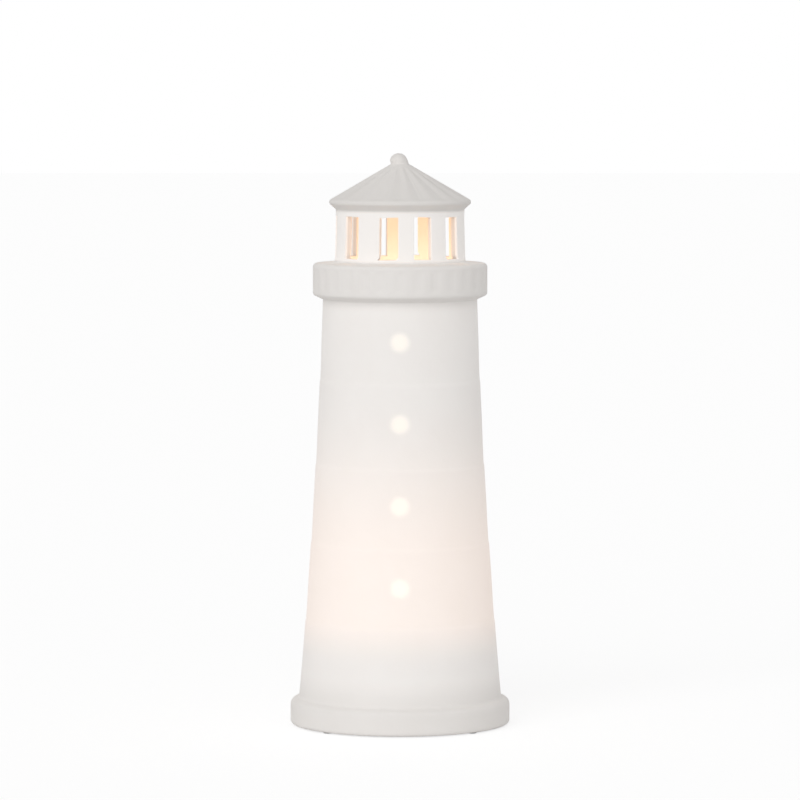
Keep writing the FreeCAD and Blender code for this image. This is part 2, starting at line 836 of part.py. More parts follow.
def cord_bush():
    """A rubber top-hat bush in the wall of the holder, at the back."""
    body = new_body("cord_bush")
    inner = circle(body, "sleeve", "XZ_Plane", "0", CORD_HEIGHT, "bush_radius")
    inner.setExpression("AttachmentOffset.Base.z", cells("-(case_radius - case_wall - bush_lip / 2)"))
    drawn(body, inner, "case_wall + bush_lip / 2", towards=-1)
    lip = circle(body, "lip", "XZ_Plane", "0", CORD_HEIGHT, "bush_lip_radius")
    lip.setExpression("AttachmentOffset.Base.z", cells("-case_radius"))
    drawn(body, lip, "bush_lip", towards=-1)
    bore = circle(body, "bore", "XZ_Plane", "0", CORD_HEIGHT, "cord_bore")
    drawn(body, bore, "case_radius + bush_lip + overcut", "Pocket", towards=-1)


def spring_clip(label, half_turn):
    """A leaf that hooks over the turret's shoulder and bows out to press on the wall of the porcelain hole."""
    body = new_body(label)
    root = f"({CLIP_FLAT} + fit_gap)"
    profile = outline(
        body,
        "profile",
        "XZ_Plane",
        [
            ("clip_tooth", f"{TURRET_TOP} - clip_tooth_drop"),
            ("clip_tooth + clip_thickness", f"{TURRET_TOP} - clip_tooth_drop"),
            ("clip_tooth + clip_thickness", CLIP_TAB),
            (root, CLIP_TAB),
            (f"{CLIP_REACH} - clip_thickness", CLIP_BULGE),
            (f"{CLIP_REACH} - clip_tail - clip_thickness", f"{CLIP_BULGE} - clip_tail"),
            (f"{CLIP_REACH} - clip_tail", f"{CLIP_BULGE} - clip_tail"),
            (CLIP_REACH, CLIP_BULGE),
            (f"{root} + clip_thickness", f"{CLIP_TAB} + clip_thickness"),
            ("clip_tooth", f"{CLIP_TAB} + clip_thickness"),
        ],
    )
    drawn(body, profile, "clip_width", midplane=True)
    body.Placement = Placement(Vector(), Rotation(Vector(0, 0, 1), 180 * half_turn))


# --------------------------------------------------------------------------------------------------- lamp


def bulb_tip():
    body = new_body("bulb_tip")
    section = outline(
        body,
        "section",
        "XZ_Plane",
        [
            ("0", TIP_BOTTOM),
            ("tip_radius - tip_height / 2", TIP_BOTTOM),
            ("tip_radius", f"{TIP_BOTTOM} + tip_height / 2"),
            ("tip_radius", TIP_TOP),
            ("0", TIP_TOP),
        ],
    )
    turned(body, section)


def bulb_insulator():
    body = new_body("bulb_insulator")
    section = outline(
        body,
        "section",
        "XZ_Plane",
        [("0", TIP_TOP), ("insulator_small", TIP_TOP), ("cap_small", CAP_BOTTOM), ("0", CAP_BOTTOM)],
    )
    turned(body, section)


def bulb_cap():
    """The drawn metal cap. Its thread is left to the finishing model."""
    body = new_body("bulb_cap")
    flare_top = f"({CAP_THREAD_TOP} + cap_skirt_flare)"
    section = outline(
        body,
        "section",
        "XZ_Plane",
        [
            ("tip_radius", CAP_BOTTOM),
            ("cap_small", CAP_BOTTOM),
            ("cap_radius", f"{CAP_BOTTOM} + cap_radius - cap_small"),
            ("cap_radius", CAP_THREAD_TOP),
            ("cap_skirt_radius", flare_top),
            ("cap_skirt_radius", CAP_TOP),
            ("cap_skirt_radius - cap_sheet", CAP_TOP),
            ("cap_skirt_radius - cap_sheet", flare_top),
            ("cap_radius - cap_sheet", CAP_THREAD_TOP),
            ("cap_radius - cap_sheet", f"{CAP_BOTTOM} + cap_radius - cap_small + cap_sheet"),
            ("cap_small - cap_sheet", f"{CAP_BOTTOM} + cap_sheet"),
            ("tip_radius", f"{CAP_BOTTOM} + cap_sheet"),
        ],
    )
    turned(body, section)


def bulb_housing():
    body = new_body("bulb_housing")
    plug = "(cap_skirt_radius - cap_sheet - screw_gap)"
    bore = f"({plug} - housing_wall)"
    curve_top = f"({HOUSING_TOP} - housing_rim)"
    seat = f"({SINK_UNDER} - sink_skirt_height)"
    section = outline(
        body,
        "section",
        "XZ_Plane",
        [
            (bore, f"{CAP_TOP} - housing_plug"),
            (plug, f"{CAP_TOP} - housing_plug"),
            (plug, CAP_TOP),
            ("housing_neck_radius", CAP_TOP),
            ("housing_radius", curve_top),
            ("housing_radius", HOUSING_TOP),
            ("housing_radius - housing_wall", HOUSING_TOP),
            ("housing_radius - housing_wall", SINK_UNDER),
            ("sink_skirt_radius + fit_gap", SINK_UNDER),
            ("sink_skirt_radius + fit_gap", seat),
            (bore, seat),
        ],
    )
    turned(body, section)


def bulb_heat_sink():
    body = new_body("bulb_heat_sink")
    section = outline(
        body,
        "section",
        "XZ_Plane",
        [
            ("sink_hole", SINK_UNDER),
            ("sink_skirt_radius - sink_thickness", SINK_UNDER),
            ("sink_skirt_radius - sink_thickness", f"{SINK_UNDER} - sink_skirt_height"),
            ("sink_skirt_radius", f"{SINK_UNDER} - sink_skirt_height"),
            ("sink_skirt_radius", SINK_UNDER),
            ("housing_radius - housing_wall - fit_gap", SINK_UNDER),
            ("housing_radius - housing_wall - fit_gap", SINK_TOP),
            ("sink_hole", SINK_TOP),
        ],
    )
    turned(body, section)


def bulb_led_board():
    body = new_body("bulb_led_board")
    cylinder(body, "board", "led_board_radius", SINK_TOP, "led_board_thickness")
    cylinder(
        body, "wire_hole", "sink_hole", f"{SINK_TOP} - overcut", "led_board_thickness + 2 * overcut", kind="Pocket"
    )


def bulb_leds():
    chips = []
    for number in range(int(value("led_count"))):
        angle = f"({number} * 360 / led_count)"
        chip = document.addObject("Part::Box", f"led_{number}")
        bind(chip, Length="led_side", Width="led_side", Height="led_height")
        chip.setExpression("Placement.Base.x", cells(f"led_ring * cos{angle} - led_side / 2"))
        chip.setExpression("Placement.Base.y", cells(f"led_ring * sin{angle} - led_side / 2"))
        chip.setExpression("Placement.Base.z", cells(f"{SINK_TOP} + led_board_thickness"))
        chips.append(chip)
    group = document.addObject("Part::Compound", "bulb_leds")
    group.Label = "bulb_leds"
    group.Links = chips
    document.recompute()


def bulb_diffuser():
    """The opal dome, with a short skirt that stands on the heat sink inside the housing's rim."""
    body = new_body("bulb_diffuser")
    inner_radius = "(dome_radius - dome_wall)"
    inner_edge = f"sqrt({inner_radius}^2 - ({DOME_CENTRE} - {HOUSING_TOP})^2)"
    edge_drop = math.degrees(math.asin(value(f"({DOME_CENTRE} - {HOUSING_TOP}) / dome_radius")))

    def band(radius, first, number):
        """A point of the dome's section, from the rim at 0 to the crown at the last band."""
        angle = f"({first} + (90 - {first}) * {number} / dome_bands)"
        return f"{radius} * cos{angle}", f"{DOME_CENTRE} + {radius} * sin{angle}"

    bands = int(value("dome_bands"))
    rim = f"(-{edge_drop:.6f})"
    outside = [band("dome_radius", rim, number) for number in range(1, bands)]
    inside = [band(inner_radius, rim, number) for number in range(bands - 1, 0, -1)]
    section = outline(
        body,
        "section",
        "XZ_Plane",
        [
            (inner_edge, SINK_TOP),
            ("dome_edge_radius", SINK_TOP),
            ("dome_edge_radius", HOUSING_TOP),
            *outside,
            ("0", f"{DOME_CENTRE} + dome_radius"),
            ("0", f"{DOME_CENTRE} + {inner_radius}"),
            *inside,
            (inner_edge, HOUSING_TOP),
        ],
    )
    turned(body, section)


def driver():
    body = new_body("bulb_driver_board")
    bottom = f"({DRIVER_TOP} - driver_height)"
    board = block(
        body, "board", "XZ_Plane", ("-driver_width / 2", bottom), ("driver_width / 2", DRIVER_TOP)
    )
    drawn(body, board, "driver_board_thickness", midplane=True)
    middle = f"({DRIVER_TOP} - driver_height / 3)"
    for label, radius, height, side in (
        ("driver_capacitor", "capacitor_radius", "capacitor_height", 1),
        ("driver_coil", "coil_radius", "coil_height", -1),
    ):
        part = new_body(label)
        back = f"{side} * ({radius} + driver_board_thickness / 2 + fit_gap)"
        cylinder(part, "can", radius, f"{middle} - {height} / 2", height, "0", back)
        rounded(part, "can_edge", [(radius, f"{middle} + {height} / 2")], f"{radius} / 6", "Chamfer")


tower_casting()
foot_pads()
holder_body()
bottom_cover()
cover_screws()
terminal_insert()
insert_screws()
terminal("neutral_terminal", 0)
terminal("live_terminal", 1)
terminal_screws()
screw_shell()
centre_contact()
cord_bush()
spring_clip("spring_clip_right", 0)
spring_clip("spring_clip_left", 1)
bulb_tip()
bulb_insulator()
bulb_cap()
bulb_housing()
bulb_heat_sink()
bulb_led_board()
bulb_leds()
bulb_diffuser()
driver()
document.recompute()

for thing in document.Objects:
    if "Invalid" in thing.State or "Error" in thing.State:
        raise SystemExit(f"{thing.Name} ({thing.Label}) failed: {thing.State}")

nodes = [thing for thing in document.Objects if thing.TypeId in ("PartDesign::Body", "Part::Compound")]
for node in nodes:
    if node.Shape.isNull() or not node.Shape.isValid():
        raise SystemExit(f"{node.Label} has no valid shape")
os.makedirs("parts", exist_ok=True)
for node in nodes:
    node.Shape.exportStep(os.path.join("parts", f"{node.Label}.step"))
    box = node.Shape.BoundBox
    count = len(node.Shape.Solids)
    print(f"{node.Label}: {count} solid, {node.Shape.Volume:.0f} mm3, z {box.ZMin:.2f} to {box.ZMax:.2f}")
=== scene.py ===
# %% [markdown]
# # A porcelain lighthouse, lit from inside
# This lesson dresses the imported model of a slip-cast porcelain light. The model holds every piece at its
# real size and place. Here each piece gets the surface and the small soft forms that a mould, a lathe or a
# hand gives it. Everything is in metres, and the front of the lighthouse faces -Y.

import math
import random

import bpy
import numpy as np
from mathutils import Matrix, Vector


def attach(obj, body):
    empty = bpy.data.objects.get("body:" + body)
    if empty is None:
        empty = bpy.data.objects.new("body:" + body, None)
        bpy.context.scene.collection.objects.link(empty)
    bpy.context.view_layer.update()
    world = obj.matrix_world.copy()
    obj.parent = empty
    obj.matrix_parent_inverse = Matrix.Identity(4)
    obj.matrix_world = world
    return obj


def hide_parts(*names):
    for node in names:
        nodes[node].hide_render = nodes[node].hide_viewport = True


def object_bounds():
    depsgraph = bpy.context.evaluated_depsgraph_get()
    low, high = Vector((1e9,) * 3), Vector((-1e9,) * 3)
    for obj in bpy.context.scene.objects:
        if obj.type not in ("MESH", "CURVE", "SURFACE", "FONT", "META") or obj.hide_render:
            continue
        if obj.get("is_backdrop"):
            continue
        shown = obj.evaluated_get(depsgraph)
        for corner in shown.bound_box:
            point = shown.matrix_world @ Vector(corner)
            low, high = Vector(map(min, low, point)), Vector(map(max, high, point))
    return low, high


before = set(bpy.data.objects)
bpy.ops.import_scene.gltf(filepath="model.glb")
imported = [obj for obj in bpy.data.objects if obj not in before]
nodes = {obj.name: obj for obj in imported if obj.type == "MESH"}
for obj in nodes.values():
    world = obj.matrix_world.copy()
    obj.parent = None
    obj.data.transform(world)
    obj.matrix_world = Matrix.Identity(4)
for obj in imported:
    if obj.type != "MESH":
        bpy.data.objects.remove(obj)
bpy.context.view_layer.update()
MM = 0.001

# %% [markdown]
# ## Tools for turned pieces
# Nearly every piece here is turned: the porcelain comes from a turned model, the lamp and its holder from
# turned moulds. So a piece starts as its half section, a chain of edges that is extruded from one corner,
# and is then spun about the upright axis. Real corners are never sharp, so the section's corners are
# rounded first.


# %% Rounded sections
def rounded(corners, steps=4):
    """Points along corners of (radius, height, rounding, longest run) in mm, with arcs at the corners."""
    points = []
    count = len(corners)
    for i, (across, up, rounding, run) in enumerate(corners):
        here = np.array((across, up), float)
        before = np.array(corners[i - 1][:2], float)
        after = np.array(corners[(i + 1) % count][:2], float)
        if rounding and 0 < i < count - 1:
            way_in = (here - before) / np.linalg.norm(here - before)
            way_out = (after - here) / np.linalg.norm(after - here)
            turn = math.acos(np.clip(way_in @ way_out, -1, 1))
            reach = rounding * math.tan(turn / 2)
            inward = (way_out - way_in) / np.linalg.norm(way_out - way_in)
            centre = here + inward * rounding / math.cos(turn / 2)
            first = here - way_in * reach - centre
            last = here + way_out * reach - centre
            for step in range(steps + 1):
                share = step / steps
                mix = math.sin((1 - share) * turn) * first + math.sin(share * turn) * last
                points.append((centre + mix / math.sin(turn), run if step == steps else None))
        else:
            points.append((here, run))
    chain = []
    for (start, run), (end, _) in zip(points, points[1:]):
        chain.append(start)
        length = np.linalg.norm(end - start)
        if run and length > run:
            pieces = math.ceil(length / run)
            chain += [start + (end - start) * k / pieces for k in range(1, pieces)]
    chain.append(points[-1][0])
    return chain


# %% Drawing and spinning
def deselect():
    if bpy.context.object and bpy.context.object.mode != "OBJECT":
        bpy.ops.object.mode_set(mode="OBJECT")
    bpy.ops.object.select_all(action="DESELECT")


def turned(name, section, steps=96, closed=False):
    """Extrudes a section point by point from one corner, and spins it round the upright axis."""
    chain = [point * MM for point in section]
    if closed:
        chain.append(chain[0])
    deselect()
    bpy.ops.mesh.primitive_plane_add(size=MM)
    piece = bpy.context.object
    piece.name = name
    bpy.ops.object.mode_set(mode="EDIT")
    bpy.ops.mesh.merge(type="CENTER")
    bpy.ops.transform.translate(value=(chain[0][0], 0, chain[0][1]))
    for start, end in zip(chain, chain[1:]):
        way = end - start
        bpy.ops.mesh.extrude_region_move(TRANSFORM_OT_translate={"value": (way[0], 0, way[1])})
    bpy.ops.mesh.select_all(action="SELECT")
    bpy.ops.mesh.spin(steps=steps, angle=math.tau, center=(0, 0, 0), axis=(0, 0, 1))
    bpy.ops.mesh.select_all(action="SELECT")
    bpy.ops.mesh.remove_doubles(threshold=2e-6)
    bpy.ops.mesh.dissolve_degenerate(threshold=1e-7)
    bpy.ops.mesh.select_all(action="SELECT")
    bpy.ops.mesh.normals_make_consistent(inside=False)
    bpy.ops.object.mode_set(mode="OBJECT")
    return piece


def points_of(piece):
    co = np.empty(len(piece.data.vertices) * 3)
    piece.data.vertices.foreach_get("co", co)
    return co.reshape(-1, 3)


def move_points(piece, co):
    piece.data.vertices.foreach_set("co", co.astype(np.float32).ravel())
    piece.data.update()


def smoothed(piece, degrees=35):
    deselect()
    piece.select_set(True)
    bpy.context.view_layer.objects.active = piece
    bpy.ops.object.shade_smooth_by_angle(angle=math.radians(degrees))
    return piece


def step_between(value, low, high):
    """0 below low, 1 above high, and a soft step between."""
    share = np.clip((value - low) / (high - low), 0, 1)
    return share * share * (3 - 2 * share)


# %% [markdown]
# ## The porcelain's section
# Slip casting leaves one wall of even thickness, and every crease between foot, tower, gallery, lantern and
# roof fills up a little. The section below runs down the outside from the top of the knob, in under the
# foot, and up the inside to the underside of the roof.

# %% Heights and radii, in mm
FOOT_TOP, TOWER_TOP, GALLERY_TOP = 13.5, 224.2, 242.6
LANTERN_FOOT, LANTERN_TOP = 243.5, 270.6
ROOF_RIM, ROOF_FALL = (36.3, 275.9), 0.58
SILL, HEAD = 245.3, 267.2
LEDGES = (55.0, 96.0, 137.0, 181.0)
TURNS = 300


def tower_radius(height):
    share = (height - FOOT_TOP) / (TOWER_TOP - FOOT_TOP)
    return 53.3 - 12.9 * share - 6.0 * share * (1 - share)


wall_heights = [h for h in np.arange(20.0, 222.0, 3.6) if min(abs(h - ledge) for ledge in LEDGES) > 2.6]
for ledge in LEDGES:
    wall_heights += [ledge + shift for shift in (-2.2, -1.2, -0.4, 0.4, 1.2, 2.2)]
wall_heights.sort(reverse=True)

def roof_height(radius):
    return ROOF_RIM[1] + (ROOF_RIM[0] - radius) * ROOF_FALL


KNOB_RADIUS, KNOB_RISE, KNOB_MIDDLE = 4.7, 4.6, 295.3
knob = []
for degrees in (90, 70, 52, 35, 18, 2, -10):
    bend = math.radians(degrees)
    knob.append((max(KNOB_RADIUS * math.cos(bend), 0.0), KNOB_MIDDLE + KNOB_RISE * math.sin(bend), 0, None))

outside_corners = [
    *knob,
    (5.0, roof_height(5.0), 0.5, 1.2),
    (*ROOF_RIM, 0.9, 1.2),
    (37.1, 275.0, 0.5, 0.6),
    (37.1, 273.7, 0.8, 0.6),
    (33.7, LANTERN_TOP, 0.7, 0.8),
    (33.7, HEAD, 0, 1.1),
    (34.2, SILL, 0, 0.7),
    (34.3, LANTERN_FOOT - 0.1, 0.9, 0.8),
    (45.7, GALLERY_TOP - 0.2, 2.0, 0.8),
    (45.7, 226.0, 1.8, 0.8),
    (40.4, TOWER_TOP - 0.6, 0.6, None),
    *[(tower_radius(h), h, 0, None) for h in wall_heights],
    (53.3, 14.4, 1.9, None),
    (57.7, 13.2, 3.5, 1.4),
    (57.7, 0.6, 1.8, 1.0),
    (51.0, 0.6, 0, 1.4),
]
inside_corners = [
    (50.0, 0.9, 0.5, 2.0),
    (50.0, 12.0, 1.4, 2.0),
    (25.5, 12.0, 0.7, 3.0),
    (25.5, 16.0, 0.7, 1.0),
    (49.6, 16.0, 3.0, 3.0),
    (41.7, 120.0, 0, 6.0),
    (36.8, 225.0, 1.5, 6.0),
    (41.9, 229.8, 1.8, 2.0),
    (41.9, 238.8, 1.8, 2.0),
    (30.4, 240.4, 1.6, 1.5),
    (30.3, SILL, 0, 1.5),
    (29.9, HEAD, 0, 1.1),
    (29.8, 274.4, 1.8, 1.5),
    (0.0, 291.8, 0, 2.0),
]
section = rounded([*outside_corners, *inside_corners])
print("porcelain section:", len(section), "points")

# %% Spinning the section
tower = turned("tower_porcelain", section, steps=TURNS)
print("porcelain turned:", len(tower.data.polygons), "faces")

# %% [markdown]
# ## Lantern windows
# The ten windows are cut through the soft clay with a knife. Here the faces of the wall are taken out
# between two rings and two uprights, outside and inside, and the two borders are bridged. Then the cut's
# sharp edges are bevelled, because a wet sponge rounds them before the clay dries.

# %% Cutting the windows
WINDOWS = 10
HALF_WINDOW = math.radians(8.4)
WINDOW_TURN = math.radians(21.6)


def around(co):
    """Each point's angle from the front, towards +X."""
    return np.arctan2(co[:, 0], -co[:, 1])


def window_gap(angle, number):
    """How far an angle is from the middle of a window."""
    middle = WINDOW_TURN + number * math.tau / WINDOWS
    return (angle - middle + math.pi) % math.tau - math.pi


def face_centres(piece):
    co = np.empty(len(piece.data.polygons) * 3)
    piece.data.polygons.foreach_get("center", co)
    return co.reshape(-1, 3)


def select_faces(piece, wanted):
    deselect()
    bpy.context.view_layer.objects.active = piece
    piece.select_set(True)
    bpy.ops.object.mode_set(mode="EDIT")
    bpy.ops.mesh.select_mode(type="FACE")
    bpy.ops.mesh.select_all(action="DESELECT")
    bpy.ops.object.mode_set(mode="OBJECT")
    piece.data.polygons.foreach_set("select", wanted)
    bpy.ops.object.mode_set(mode="EDIT")


centres = face_centres(tower)
radius = np.hypot(centres[:, 0], centres[:, 1])
in_wall = (radius > 0.0292) & (radius < 0.0350)
in_height = (centres[:, 2] > SILL * MM) & (centres[:, 2] < HEAD * MM)
angles = around(centres)
in_window = np.zeros(len(centres), bool)
for number in range(WINDOWS):
    in_window |= abs(window_gap(angles, number)) < HALF_WINDOW
select_faces(tower, in_wall & in_height & in_window)
bpy.ops.mesh.delete(type="FACE")
bpy.ops.object.mode_set(mode="OBJECT")

for number in range(WINDOWS):
    deselect()
    bpy.context.view_layer.objects.active = tower
    tower.select_set(True)
    bpy.ops.object.mode_set(mode="EDIT")
    bpy.ops.mesh.select_mode(type="EDGE")
    bpy.ops.mesh.select_all(action="DESELECT")
    bpy.ops.mesh.select_non_manifold()
    bpy.ops.object.mode_set(mode="OBJECT")
    mesh = tower.data
    chosen = np.zeros(len(mesh.edges), bool)
    mesh.edges.foreach_get("select", chosen)
    ends = np.empty(len(mesh.edges) * 2, int)
    mesh.edges.foreach_get("vertices", ends)
    co = points_of(tower)
    middles = co[ends.reshape(-1, 2)].mean(1)
    near = abs(window_gap(around(middles), number)) < HALF_WINDOW * 1.3
    deselect()
    bpy.context.view_layer.objects.active = tower
    tower.select_set(True)
    bpy.ops.object.mode_set(mode="EDIT")
    bpy.ops.mesh.select_all(action="DESELECT")
    bpy.ops.object.mode_set(mode="OBJECT")
    mesh.edges.foreach_set("select", chosen & near)
    bpy.ops.object.mode_set(mode="EDIT")
    bpy.ops.mesh.bridge_edge_loops(number_cuts=2, interpolation="LINEAR")
bpy.ops.mesh.select_all(action="DESELECT")
bpy.ops.mesh.edges_select_sharp(sharpness=math.radians(50))
bpy.ops.mesh.bevel(offset=0.42 * MM, offset_type="OFFSET", segments=2, affect="EDGES", clamp_overlap=True)
bpy.ops.mesh.select_all(action="SELECT")
bpy.ops.mesh.normals_make_consistent(inside=False)
bpy.ops.object.mode_set(mode="OBJECT")
print("windows cut:", len(tower.data.polygons), "faces")

# %% [markdown]
# ## Portholes and the notch for the cord
# Four round holes are drilled in the front, one above the other, and an arched notch is cut in the foot at
# the back. A Boolean cuts them all at once. Each cutter widens like a trumpet at the outer face, which
# leaves the worn, rounded rim of a hole that was sponged.

# %% Drilling
PORTS = (76.5, 118.7, 160.9, 203.1)
PORT_RADIUS = 3.15
cutters = []
before_drilling = len(tower.data.polygons)
for height in PORTS:
    face = tower_radius(height)
    trumpet = [(0.0, face + 3.0), (PORT_RADIUS + 1.1, face + 3.0), (PORT_RADIUS + 0.95, face + 0.15)]
    trumpet += [(PORT_RADIUS + 0.45, face - 0.12), (PORT_RADIUS + 0.15, face - 0.45)]
    trumpet += [(PORT_RADIUS, face - 1.0), (PORT_RADIUS, 30.0), (0.0, 30.0)]
    drill = turned("drill", [np.array(point) for point in trumpet], steps=40)
    co = points_of(drill)
    move_points(drill, np.stack((co[:, 0], -co[:, 2], co[:, 1] + height * MM), 1))
    cutters.append(drill)
NOTCH_RADIUS, NOTCH_HEIGHT = 4.2, 6.7
deselect()
bpy.ops.mesh.primitive_cylinder_add(vertices=48, radius=NOTCH_RADIUS * MM, depth=24 * MM)
notch = bpy.context.object
co = points_of(notch)
low = np.minimum(co[:, 1], 0) * 4
NOTCH_BACK = 54
arched = np.maximum(co[:, 1], 0) + low + NOTCH_HEIGHT * MM
move_points(notch, np.stack((co[:, 0], co[:, 2] + NOTCH_BACK * MM, arched), 1))
cutters.append(notch)
deselect()
for cutter in cutters:
    cutter.select_set(True)
bpy.context.view_layer.objects.active = cutters[0]
bpy.ops.object.join()
cutter = bpy.context.object
bpy.ops.object.mode_set(mode="EDIT")
bpy.ops.mesh.select_all(action="SELECT")
bpy.ops.mesh.normals_make_consistent(inside=False)
bpy.ops.object.mode_set(mode="OBJECT")
deselect()
tower.select_set(True)
bpy.context.view_layer.objects.active = tower
cut = tower.modifiers.new("ports", "BOOLEAN")
cut.object = cutter
cut.operation = "DIFFERENCE"
cut.solver = "EXACT"
bpy.ops.object.modifier_apply(modifier=cut.name)
bpy.data.objects.remove(cutter)
print("drilled:", before_drilling, "faces before,", len(tower.data.polygons), "after")

# %% [markdown]
# ## Relief and the hand in it
# The gallery's railing is a row of shallow upright hollows, and soft ribs run down the roof. They are too
# shallow and too soft for cuts, so the points of the surface are moved by smooth steps instead. The same
# way gives the tower its faint ledges and the whole casting the small unevenness of fired clay.

# %% Moving the surface
random.seed(7)
co = points_of(tower)
radius = np.hypot(co[:, 0], co[:, 1])
height = co[:, 2]
angle = around(co)
sink = np.zeros(len(co))

PANELS = 30
pitch = math.tau / PANELS
number = np.round(angle / pitch).astype(int) % PANELS
lean = np.array([random.uniform(-0.25, 0.25) for _ in range(PANELS)])
depth = np.array([random.uniform(0.24, 0.42) for _ in range(PANELS)])
across = ((angle + pitch / 2) % pitch - pitch / 2) * 45.7 + lean[number]
upright = step_between(2.9 - abs(across), 0.0, 1.5)
tall = step_between(height / MM, 228.0, 230.2) * step_between(240.6 - height / MM, 0.0, 2.2)
on_gallery = (radius > 44.4 * MM) & (height > 226 * MM)
sink += on_gallery * upright * tall * depth[number]

RIBS = 18
RIB_TURN = math.radians(9)
rib_number = np.round((angle - RIB_TURN) * RIBS / math.tau).astype(int) % RIBS
strength = np.array([random.uniform(0.75, 1.15) for _ in range(RIBS)])
valley = (0.5 - 0.5 * np.cos(RIBS * (angle - RIB_TURN))) ** 0.8
roof_line = roof_height(radius / MM) * MM
on_roof = (height > 275.2 * MM) & (abs(height - roof_line) < 1.6 * MM)
along = step_between(radius / MM, 6.0, 13.0) * step_between(36.9 - radius / MM, 0.0, 3.0)
drop = on_roof * valley * along * 0.62 * strength[rib_number]

on_tower = (height > 14 * MM) & (height < 224 * MM) & (radius > (tower_radius(height / MM) - 1.9) * MM)
for ledge in LEDGES:
    above = height / MM - ledge
    sink += on_tower * 0.26 * step_between(above, -0.9, 0.9) * step_between(26 - above, 0.0, 24.0)
wobble = 0.10 + 0.05 * np.sin(2 * angle + 9 * height) + 0.05 * np.sin(3 * angle - 31 * height + 1.3)
sink += wobble * (radius > 20 * MM)

lantern = step_between(height / MM, 243.5, 247) * step_between(270.5 - height / MM, 0.0, 3.0)
sway = 0.30 * np.sin(7 * angle + 0.9) + 0.22 * np.sin(11 * angle + 60 * height + 2.1)
# How many degrees some windows stand off an even ring, by their number.
SHIFTS = {8: 2.0, 9: 4.4, 0: -0.9, 1: -5.0, 4: 4.5}
shifts = np.array([math.radians(SHIFTS.get(k, 0.0)) for k in range(WINDOWS)])
along_ring = ((angle - WINDOW_TURN) * WINDOWS / math.tau) % WINDOWS
this_window = np.floor(along_ring).astype(int) % WINDOWS
between = step_between(along_ring - np.floor(along_ring), 0.3, 0.7)
shifted = shifts[this_window] * (1 - between) + shifts[(this_window + 1) % WINDOWS] * between
turn = lantern * (sway * 0.4 * MM / 0.034 + shifted)
knob_lean = -0.75 * MM * step_between(height / MM, 293.6, 297.0) * (radius < 8 * MM)
wave = np.sin(5 * angle + 0.7) * lantern * step_between(abs(height / MM - 256.2), 6.0, 11.0)
new_radius = radius - sink * MM
new_angle = angle + turn
moved = np.stack((new_radius * np.sin(new_angle), -new_radius * np.cos(new_angle), height - drop * MM), 1)
moved[:, 0] += knob_lean
moved[:, 2] += 0.28 * MM * wave
move_points(tower, moved)
smoothed(tower, 38)
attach(tower, "tower")
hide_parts("tower_casting")
print("porcelain finished: radius", round(np.hypot(moved[:, 0], moved[:, 1]).max() / MM, 2), "mm")

# %% [markdown]
# ## Sums on sockets
# A material is a sum of patterns. One small class wraps a socket and takes part in Python's own sums, so a
# pattern reads as a formula. Colours go through Mix nodes. Every other node comes from one method.


# %% Wires and paints
class Wire:
    """The output of a node, which can be added, taken away, multiplied and divided."""

    def __init__(self, paint, socket):
        self.paint = paint
        self.socket = socket

    def maths(self, operation, first, second):
        return self.paint.node("ShaderNodeMath", {"operation": operation}, {0: first, 1: second})

    def __add__(self, other):
        return self.maths("ADD", self, other)

    def __sub__(self, other):
        return self.maths("SUBTRACT", self, other)

    def __rsub__(self, other):
        return self.maths("SUBTRACT", other, self)

    def __mul__(self, other):
        return self.maths("MULTIPLY", self, other)

    def __truediv__(self, other):
        return self.maths("DIVIDE", self, other)

    def __pow__(self, other):
        return self.maths("POWER", self, other)

    __radd__ = __add__
    __rmul__ = __mul__


class Paint:
    """A material with its principled shader, and the patterns that are built on it."""

    def __init__(self, name, roughness=0.5, metallic=0.0, **constants):
        self.material = bpy.data.materials.new(name)
        self.material.use_nodes = True
        self.tree = self.material.node_tree
        self.shader = self.tree.nodes["Principled BSDF"]
        self.shader.inputs["Roughness"].default_value = roughness
        self.shader.inputs["Metallic"].default_value = metallic
        for name_of_socket, amount in constants.items():
            self.shader.inputs[name_of_socket.replace("_", " ")].default_value = amount
        self.place = self.node("ShaderNodeTexCoord", output="Object")
        split = self.node("ShaderNodeSeparateXYZ", inputs={0: self.place})
        self.x, self.y, self.z = (Wire(self, split.socket.node.outputs[i]) for i in range(3))

    def node(self, kind, settings=None, inputs=None, output=0):
        made = self.tree.nodes.new(kind)
        for name, setting in (settings or {}).items():
            if name == "stops":
                self.set_stops(made.color_ramp, setting)
            else:
                setattr(made, name, setting)
        for name, given in (inputs or {}).items():
            if isinstance(given, Wire):
                self.tree.links.new(given.socket, made.inputs[name])
            else:
                made.inputs[name].default_value = given
        return Wire(self, made.outputs[output])

    def set_stops(self, ramp, stops):
        while len(ramp.elements) < len(stops):
            ramp.elements.new(0.5)
        for element, (position, colour) in zip(ramp.elements, stops):
            element.position = position
            element.color = (*colour, 1)

    def soft_step(self, given, low, high):
        settings = {"interpolation_type": "SMOOTHSTEP"}
        return self.node("ShaderNodeMapRange", settings, {"Value": given, "From Min": low, "From Max": high})

    def noise(self, per_mm, detail=2.0, stretch=(1, 1, 1)):
        """A noise with that many bumps to a millimetre."""
        scaled = self.node("ShaderNodeMapping", inputs={"Vector": self.place, "Scale": stretch})
        inputs = {"Vector": scaled, "Scale": per_mm / MM, "Detail": detail}
        return self.node("ShaderNodeTexNoise", inputs=inputs)

    def mixed(self, share, first, second):
        """A colour from first to second."""
        one, two = ((*c, 1) if isinstance(c, tuple) else c for c in (first, second))
        return self.node("ShaderNodeMix", {"data_type": "RGBA"}, {0: share, 6: one, 7: two}, output=2)

    def feed(self, name, wire):
        self.tree.links.new(wire.socket, self.shader.inputs[name])

    def bumpy(self, heights, distance, strength=1.0):
        inputs = {"Height": heights, "Distance": distance * MM, "Strength": strength}
        self.feed("Normal", self.node("ShaderNodeBump", inputs=inputs))


